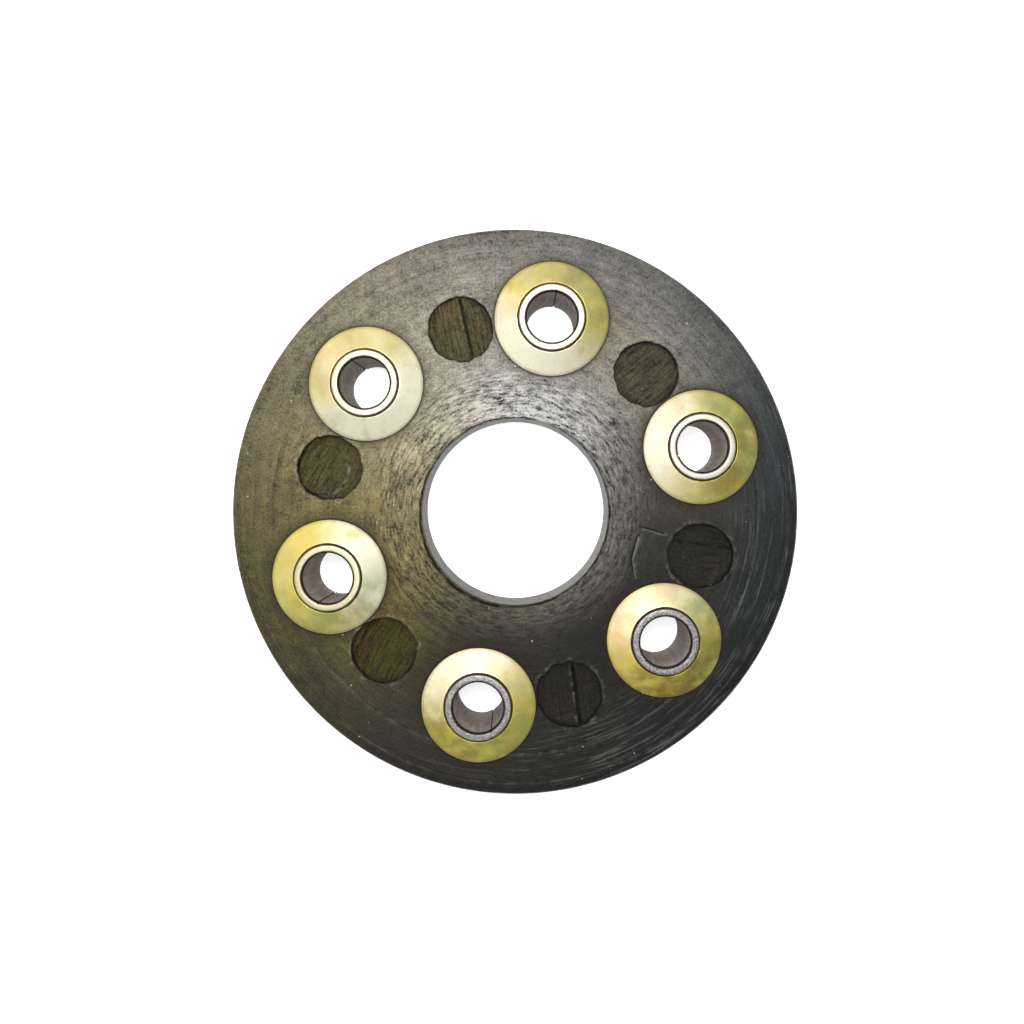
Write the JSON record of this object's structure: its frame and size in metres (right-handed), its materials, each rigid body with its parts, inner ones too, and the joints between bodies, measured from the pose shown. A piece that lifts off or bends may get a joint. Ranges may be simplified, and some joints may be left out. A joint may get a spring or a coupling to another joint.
{
  "type": "flexible disc coupling",
  "caption": "Flexible shaft coupling: a thick rubber disc with a plain centre hole and steel bolt sleeves on a circle, each seated in cone washers.",
  "frame": {"origin": "the middle of the disc, on its axis and half way through its thickness", "axes": "+Z along the disc's axis, out of the face with the blind pockets; +X and +Y lie in the plane of the disc"},
  "size_m": [0.139, 0.139, 0.025],
  "materials": {
    "turned_rubber": "skimmed on a lathe, dusty",
    "sleeve_steel": "rolled and zinc plated",
    "washer_plate": "pressed, zinc plated and yellow passivated"
  },
  "bodies": {
    "root": {"disc_body": "turned_rubber", "sleeve_1": "sleeve_steel", "sleeve_2": "sleeve_steel", "sleeve_3": "sleeve_steel", "sleeve_4": "sleeve_steel", "sleeve_5": "sleeve_steel", "sleeve_6": "sleeve_steel", "front_washer_1": "washer_plate", "front_washer_2": "washer_plate", "front_washer_3": "washer_plate", "front_washer_4": "washer_plate", "front_washer_5": "washer_plate", "front_washer_6": "washer_plate", "rear_washer_1": "washer_plate", "rear_washer_2": "washer_plate", "rear_washer_3": "washer_plate", "rear_washer_4": "washer_plate", "rear_washer_5": "washer_plate", "rear_washer_6": "washer_plate"}
  },
  "joints": []
}
